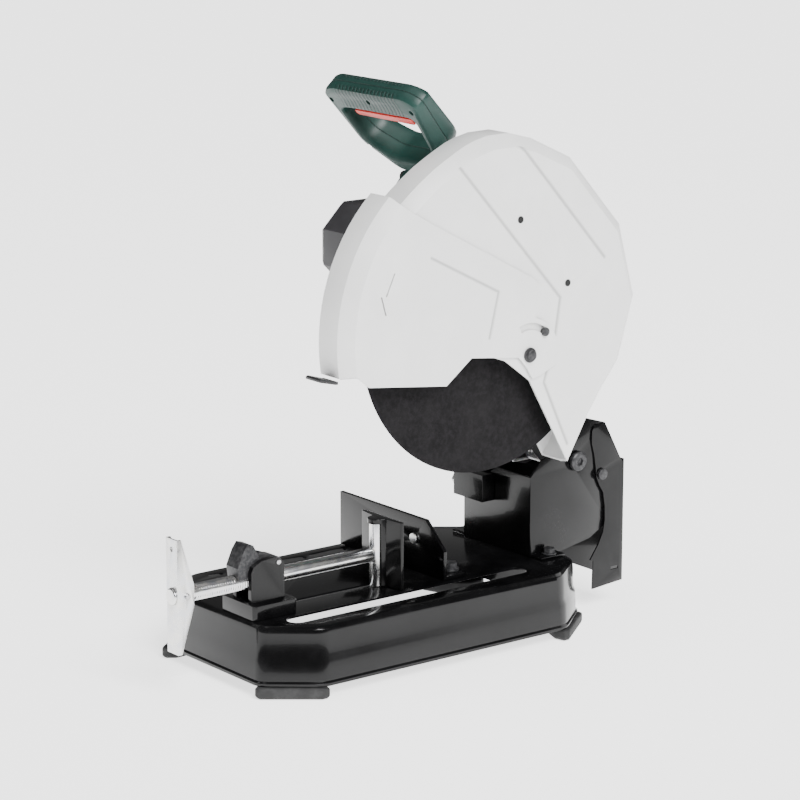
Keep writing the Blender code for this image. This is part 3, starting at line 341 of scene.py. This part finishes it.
# ---------------------------------------------------------------- return spring
# Torsion spring of 3.4 mm wire wound round the pivot shaft, its legs against the stand's front
# plate and the arm. The wire is wound on an arbor, so every turn is the same.
low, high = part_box("pivot_shaft")
PIVOT_Y, PIVOT_Z = (low.y + high.y) / 2, (low.z + high.z) / 2
COIL_R, WIRE_R, COIL_LOW, COIL_HIGH, TURNS = 0.0124, 0.0017, -0.024, 0.012, 6
bpy.ops.object.select_all(action="DESELECT")
bpy.ops.mesh.primitive_circle_add(vertices=12, radius=WIRE_R, location=(COIL_LOW, PIVOT_Y, PIVOT_Z),
                                  rotation=(math.pi / 2, 0.0, 0.0))
spring = bpy.context.object
spring.name = "return_spring_wire"
bpy.ops.object.transform_apply(location=False, rotation=True, scale=False)
bpy.ops.object.mode_set(mode="EDIT")
bpy.ops.transform.translate(value=(0.0, 0.0, -COIL_R))
bpy.ops.object.mode_set(mode="OBJECT")
coil = spring.modifiers.new("coil", "SCREW")
coil.axis, coil.angle, coil.iterations = "X", 2 * math.pi, TURNS
coil.screw_offset = (COIL_HIGH - COIL_LOW) / TURNS
coil.steps = coil.render_steps = 32
bpy.ops.object.modifier_apply(modifier=coil.name)
bpy.ops.object.transform_apply(location=True, rotation=True, scale=True)
for side, run in ((COIL_LOW, -0.030), (COIL_HIGH, 0.016)):
    for v in spring.data.vertices:
        v.select = abs(v.co.x - side) < WIRE_R + 1e-4 and abs(v.co.y - PIVOT_Y) < 2e-5
    bpy.ops.object.mode_set(mode="EDIT")
    bpy.ops.mesh.select_mode(type="VERT")
    bpy.ops.mesh.extrude_region_move(TRANSFORM_OT_translate={"value": (0.0, run, 0.0)})
    bpy.ops.mesh.select_all(action="DESELECT")
    bpy.ops.object.mode_set(mode="OBJECT")
bpy.ops.object.mode_set(mode="EDIT")
bpy.ops.mesh.select_all(action="SELECT")
bpy.ops.mesh.fill_holes(sides=16)
bpy.ops.mesh.normals_make_consistent(inside=False)
bpy.ops.object.mode_set(mode="OBJECT")
bpy.ops.object.shade_smooth_by_angle(angle=math.radians(50))
spring.data.materials.append(zinc("spring_zinc", 0.30).material)
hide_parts("return_spring")
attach(spring, "base")

# ---------------------------------------------------------------- vise bracket, lever and jaw
# The bracket, the half-nut lever that drops onto the screw, and the jaw are cast and machined
# steel, enamelled or black oxide. The jaw swivels on a plated column that the screw pushes.
vise_enamel = enamel("vise_enamel", 0.04)
finer("vise_bracket", vise_enamel, 0.0010, 3)
finer("moving_jaw", vise_enamel, 0.0007, 3)
column_zinc = zinc("column_zinc", 0.17, 0.05)
finer("swivel_block", column_zinc, 0.0006, 3)
finer("release_lever", oxide, 0.0009, 3)

# ---------------------------------------------------------------- vise screw and crank
# Zinc-plated rod with a rolled trapezoidal thread at the crank end, turned by a pressed channel
# that is held with a roll pin. The thread is one helix; the plain end pushes the jaw.
low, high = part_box("vise_screw")
SCREW = Vector(((low.x + high.x) / 2, 0.0, (low.z + high.z) / 2))
FRONT, BACK, THREAD_FROM, THREAD_TO, PITCH = low.y, high.y, low.y + 0.029, low.y + 0.148, 0.0032
TIP, ROOT, ROD, CREST = 0.0050, 0.0087, 0.0090, 0.0098
STEP = 0.0012                        # length of each chamfer on the rod
bpy.ops.object.select_all(action="DESELECT")
bpy.ops.mesh.primitive_cylinder_add(vertices=64, radius=TIP, depth=0.0145, end_fill_type="NGON",
                                    location=(SCREW.x, BACK - 0.0075, SCREW.z),
                                    rotation=(-math.pi / 2, 0.0, 0.0))
rod = bpy.context.object
rod.name = "vise_rod"
bpy.ops.object.transform_apply(location=True, rotation=True, scale=True)


def grow(obj, radius_scale, distance, axis=(0.0, -1.0, 0.0)):
    """Extrudes the end face that looks along axis, and scales it about the screw's line."""
    aim = Vector(axis)
    reach = max(face.center.dot(aim) for face in obj.data.polygons)
    bpy.ops.object.mode_set(mode="OBJECT")
    for thing in (*obj.data.vertices, *obj.data.edges, *obj.data.polygons):
        thing.select = False
    for face in obj.data.polygons:
        face.select = face.normal.dot(aim) > 0.99 and abs(face.center.dot(aim) - reach) < 1e-6
    bpy.ops.object.mode_set(mode="EDIT")
    bpy.ops.mesh.select_mode(type="FACE")
    bpy.ops.mesh.extrude_region_move(TRANSFORM_OT_translate={"value": tuple(aim * distance)})
    if radius_scale != 1.0:
        keep = [1.0 if abs(a) > 0.5 else radius_scale for a in axis]
        bpy.ops.transform.resize(value=keep, center_override=(SCREW.x, 0.0, SCREW.z))
    bpy.ops.object.mode_set(mode="OBJECT")


for share, run in ((1.6, 0.0), (ROD / (1.6 * TIP), 0.001), (1.0, BACK - 0.0155 - THREAD_TO),
                   (ROOT / ROD, STEP), (1.0, THREAD_TO - THREAD_FROM - STEP), (0.0097 / ROOT, STEP),
                   (1.0, THREAD_FROM - FRONT - 2 * STEP), (0.88, STEP)):
    grow(rod, share, run)
edge = rod.modifiers.new("edges", "BEVEL")
edge.width, edge.segments, edge.limit_method, edge.angle_limit = 0.0003, 2, "ANGLE", math.radians(40)
bpy.ops.object.modifier_apply(modifier=edge.name)
bpy.ops.object.shade_smooth_by_angle(angle=math.radians(35))
screw_zinc = zinc("screw_zinc", 0.17, 0.05)
rod.data.materials.append(screw_zinc.material)
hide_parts("vise_screw")
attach(rod, "vise_screw")

bpy.ops.object.select_all(action="DESELECT")
bpy.ops.mesh.primitive_circle_add(vertices=4, radius=0.0014,
                                  location=(SCREW.x, THREAD_FROM + 0.002, SCREW.z))
thread = bpy.context.object
thread.name = "vise_thread"
bpy.ops.object.mode_set(mode="EDIT")
bpy.ops.transform.translate(value=(CREST - 0.0012, 0.0, 0.0))
bpy.ops.object.mode_set(mode="OBJECT")
for v in thread.data.vertices:       # the crest is flat, as a rolled thread's is
    v.co.x = min(v.co.x, CREST)
helix = thread.modifiers.new("helix", "SCREW")
helix.axis, helix.angle, helix.screw_offset = "Y", 2 * math.pi, PITCH
helix.iterations = int((THREAD_TO - THREAD_FROM - 0.004) / PITCH)
helix.steps = helix.render_steps = 40
bpy.ops.object.modifier_apply(modifier=helix.name)
bpy.ops.object.transform_apply(location=True, rotation=True, scale=True)
bpy.ops.object.mode_set(mode="EDIT")
bpy.ops.mesh.select_all(action="SELECT")
bpy.ops.mesh.fill_holes(sides=8)
bpy.ops.mesh.normals_make_consistent(inside=False)
bpy.ops.object.mode_set(mode="OBJECT")
bpy.ops.object.shade_smooth_by_angle(angle=math.radians(30))
thread.data.materials.append(screw_zinc.material)
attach(thread, "vise_screw")
crank_zinc = zinc("crank_zinc", 0.20)
finer("crank_bar", crank_zinc, 0.0005)

# ---------------------------------------------------------------- mitre fence
# Steel angle that the work is pushed against, in the pan's enamel. It swings about one bolt and is
# clamped by it.
fence_enamel = enamel("fence_enamel", 0.03)
finer("fence", fence_enamel, 0.0008, 3)

# ---------------------------------------------------------------- arm and gear housing
# One pressure die casting in aluminium, painted black over its slightly pebbled skin. It carries
# the motor on one side and the spindle nose on the other.
arm_paint = Paint("arm_paint")
pebble = arm_paint.noise(0.0022, 4.0, 0.6)
patch = arm_paint.noise(0.03, 3.0)
arm_paint.set(Base_Color=arm_paint.tint(patch, (0.018, 0.018, 0.019), (0.036, 0.036, 0.037)),
              Roughness=0.36 + 0.18 * pebble)
arm_paint.relief(3.2e-5 * pebble + 6e-6 * arm_paint.noise(0.0005))
finer("arm_casting", arm_paint, 0.0014, 3)

# ---------------------------------------------------------------- motor
# Glass-filled plastic housing with cooling fins, closed by a darker end cover with air slots and
# two brush caps. The laminated stator is pressed inside it.


def moulded(name, low, high, rough=0.44, grain=0.00055, depth=1.4e-5):
    """Spark-eroded moulded plastic."""
    paint = Paint(name, Specular_IOR_Level=0.45)
    skin = paint.noise(grain, 3.0, 0.65)
    flow = paint.noise(0.035, 3.0, 0.55)
    paint.set(Base_Color=paint.tint(flow.rise(0.25, 0.75), low, high),
              Roughness=rough + 0.12 * flow.rise(0.3, 0.7) + 0.08 * skin)
    paint.relief(depth * skin)
    return paint


motor_green = moulded("motor_green", (0.0055, 0.040, 0.031), (0.008, 0.052, 0.041))
finer("motor_housing", motor_green, 0.0008)
cover_grey = moulded("cover_grey", (0.024, 0.023, 0.026), (0.034, 0.033, 0.036), 0.40)
finer("motor_end_cover", cover_grey, 0.0018, 3)
cap_black = rubber("cap_black", 0.014)
finer("brush_cap_top", cap_black, 0.0004)
finer("brush_cap_bottom", cap_black, 0.0004)
core = Paint("laminations", Metallic=0.8)
x, y, z = core.axes()
leaf = (x * 9000.0).math("SINE")
core.set(Base_Color=core.tint(core.noise(0.01), (0.13, 0.11, 0.10), (0.22, 0.20, 0.19)),
         Roughness=0.5 + 0.1 * leaf)
core.relief(2e-5 * leaf)
finer("stator", core, 0.0003)
finer("spindle_lock_button", cover_grey, 0.0005)
finer("cable_gland", cap_black, 0.0006)

# ---------------------------------------------------------------- abrasive wheel
# Resin-bonded aluminium oxide disc, 355 mm by 3.2 mm, reinforced with glass net that shows faintly
# under the grit. The grains are coarse, and a few catch the light.
grit = Paint("bonded_grit", Specular_IOR_Level=0.2)
x, y, z = grit.axes()
coarse = grit.noise(0.0011, 4.0, 0.7)
mottle = grit.noise(0.006, 4.0, 0.65)
cloud = grit.noise(0.045, 3.0, 0.55)
cells = grit.add("ShaderNodeTexVoronoi", None, Vector=grit.place, Scale=1300.0)
spark = 1.0 - cells.rise(0.06, 0.16)
warp = ((y + z) * (math.pi / 0.0042)).math("SINE")
weft = ((y - z) * (math.pi / 0.0042)).math("SINE")
net = (warp * warp).math("POWER", 3.0) + (weft * weft).math("POWER", 3.0)
tone = grit.tint(mottle.rise(0.32, 0.72), (0.0022, 0.0020, 0.0024), (0.0085, 0.0076, 0.0088))
tone = grit.tint(cloud.rise(0.4, 0.8) * 0.5, tone, (0.0115, 0.0105, 0.0115))
grit.set(Base_Color=grit.tint(spark * 0.22 * coarse.rise(0.45, 0.6), tone, (0.22, 0.20, 0.19)),
         Roughness=0.80 + 0.15 * coarse)
grit.relief(6e-5 * coarse + 2.2e-5 * mottle + 1.2e-5 * net)
finer("abrasive_wheel", grit, 0.0006, 2)

# ---------------------------------------------------------------- fixed guard
# Deep pressed steel shell in satin white powder coat, screwed to the gear housing. Three bent
# grooves are pressed into its flat side to stiffen it, and two rivets hold the inner bracket.


def powder(name):
    """Satin white powder coat, returned with its own fine relief."""
    paint = Paint(name, Specular_IOR_Level=0.5)
    peel = paint.noise(0.0021, 2.0, 0.5)
    fine = paint.noise(0.0006, 2.0)
    haze = paint.noise(0.06, 3.0, 0.6)
    paint.set(Base_Color=paint.tint(haze.rise(0.3, 0.75), (0.76, 0.76, 0.755), (0.80, 0.80, 0.795)),
              Roughness=0.32 + 0.09 * haze.rise(0.3, 0.7) + 0.05 * peel)
    return paint, 7e-6 * peel + 2e-6 * fine


def crease(paint, line, half, x_from):
    """1 along a bent line of (y, z) points pressed into the side face, 0 beyond half a width: the mask for
    painted crease shade.
    """
    x, y, z = paint.axes()
    near = None
    for (ay, az), (by, bz) in zip(line, line[1:]):
        dy, dz = by - ay, bz - az
        span = dy * dy + dz * dz
        along = ((y - ay) * (dy / span) + (z - az) * (dz / span)).math("MAXIMUM", 0.0).math("MINIMUM", 1.0)
        ey, ez = (y - ay) - along * dy, (z - az) - along * dz
        away = (ey * ey + ez * ez).math("POWER", 0.5)
        near = away if near is None else near.math("MINIMUM", away)
    return (1.0 - near.rise(0.0, half)) * x.rise(x_from, x_from + 0.001)


def plan(*points):
    """Side-view millimetres on the base's plan to metres on this model."""
    return [((y - 8.5) / 1000.0, z / 1000.0) for y, z in points]


def press(piece, lines, half, depth):
    """Presses round-bottomed grooves along bent lines of (y, z) points into the +x side."""
    radius = (half * half + depth * depth) / (2 * depth)
    axis_x = max(v.co.x for v in piece.data.vertices) + radius - depth
    for line in lines:
        tools = []
        for (ay, az), (by, bz) in zip(line, line[1:]):
            bpy.ops.object.select_all(action="DESELECT")
            bpy.ops.mesh.primitive_cylinder_add(vertices=96, radius=radius,
                                                depth=math.hypot(by - ay, bz - az),
                                                location=(axis_x, (ay + by) / 2, (az + bz) / 2),
                                                rotation=(math.atan2(ay - by, bz - az), 0.0, 0.0))
            tools.append(bpy.context.object)
        for y, z in line:
            bpy.ops.object.select_all(action="DESELECT")
            bpy.ops.mesh.primitive_uv_sphere_add(segments=64, ring_count=48, radius=radius,
                                                 location=(axis_x, y, z))
            tools.append(bpy.context.object)
        for tool in tools:
            dent = piece.modifiers.new("dent", "BOOLEAN")
            dent.operation, dent.solver, dent.object = "DIFFERENCE", "EXACT", tool
            bpy.context.view_layer.objects.active = piece
            bpy.ops.object.modifier_apply(modifier=dent.name)
            bpy.data.objects.remove(tool)
    bpy.ops.object.select_all(action="DESELECT")
    piece.select_set(True)
    bpy.ops.object.shade_smooth_by_angle(angle=math.radians(30))


guard_white, skin = powder("guard_white")
grooves, bends = None, []
for bend in (((29.7, 585.7), (183.0, 416.3), (175.9, 372.1)),
             ((164.5, 333.8), (159.3, 316.8), (196.7, 237.0)),
             ((98.6, 617.9), (127.3, 595.2), (251.3, 457.5))):
    bends.append(plan(*bend))
    one = crease(guard_white, bends[-1], 0.0034, 0.1165)
    grooves = one if grooves is None else grooves + one
# Painted shade: the base colour is darkened along the three grooves, over the real dents that press()
# cuts.
guard_white.shade(grooves)
guard_white.relief(skin)
press(finer("fixed_guard", guard_white, 0.0010, 3, smooth=38, sharp=20), bends, 0.0030, 0.0010)
rivet_black = rubber("rivet_black", 0.010)
finer("guard_rivet_1", rivet_black, 0.0003)
finer("guard_rivet_2", rivet_black, 0.0003)

# ---------------------------------------------------------------- swinging front cover
# A second pressed shell that laps over the fixed guard and swings up about one bolt. A curved slot
# and a shoulder bolt limit its travel, and a black lip at the bottom rides over the work.
cover_white, skin = powder("cover_white")
bend = plan((-13.2, 485.6), (85.6, 435.1), (72.6, 381.8))
cover_groove_shade = crease(cover_white, bend, 0.0028, 0.1205)
# Painted shade: the base colour is darkened along the groove, over the real dent that press() cuts.
cover_white.shade(cover_groove_shade)
cover_white.relief(skin)
press(finer("front_cover", cover_white, 0.0010, 3, smooth=38, sharp=20), [bend], 0.0026, 0.0009)
lip_black = moulded("lip_black", (0.014, 0.014, 0.015), (0.022, 0.022, 0.023), 0.36)
finer("cover_lip", lip_black, 0.0006)
finer("cover_pivot_bolt", oxide, 0.0004)
finer("cover_limit_bolt", oxide, 0.0004)

# ---------------------------------------------------------------- handle and trigger
# Two moulded glass-filled shells screwed together round the switch, with curved anti-slip grooves
# across the grip, on a neck in the motor's green. The trigger and the lock-on button are red.
GRIP_AT, LEAN, GRIP_MID = Vector((-0.100, -0.0061, 0.6442)), math.radians(42.75), 0.015
handle_green = moulded("handle_green", (0.0035, 0.027, 0.021), (0.0055, 0.038, 0.030), 0.33)
x, y, z = handle_green.axes()
along = x - GRIP_AT.x
down = (y - GRIP_AT.y) * math.sin(LEAN) - (z - GRIP_AT.z) * math.cos(LEAN)
depth = (y - GRIP_AT.y) * math.cos(LEAN) + (z - GRIP_AT.z) * math.sin(LEAN) - GRIP_MID
bow = (down + 0.004) * (down + 0.004) * 14.0
RIB_PITCH = 0.0068
ribs = ((along + bow) * (2 * math.pi / RIB_PITCH)).math("SINE").rise(-0.55, 0.25)
grip = (along.rise(0.026, 0.034) * (1.0 - along.rise(0.140, 0.148)) * (1.0 - down.rise(0.008, 0.011))
        * (depth * depth).rise(2.0e-5, 5.0e-5))
joint = 1.0 - (depth * depth).rise(1e-7, 6e-7)
# Painted shade: the base colour is darker in the grooves between the grip's ribs; the dark line where the
# shells meet is the seam's own colour.
handle_green.shade(grip * (1.0 - ribs) + joint, (0.002, 0.016, 0.012))
handle_green.relief(1.4e-5 * handle_green.noise(0.00055, 3.0, 0.65) + 7e-4 * grip * ribs - 3e-4 * joint)
for node in ("handle_front", "handle_back"):
    finer(node, handle_green, 0.0014, 3, smooth=42)
finer("handle_mount", motor_green, 0.0022, 3)
for i in range(4):
    finer("handle_screw_%d" % (i + 1), cap_black, 0.0004)
trigger_red = moulded("trigger_red", (0.55, 0.024, 0.016), (0.64, 0.034, 0.022), 0.30, depth=6e-6)
finer("trigger", trigger_red, 0.0010, 3)
finer("lock_on_button", trigger_red, 0.0006, 3)
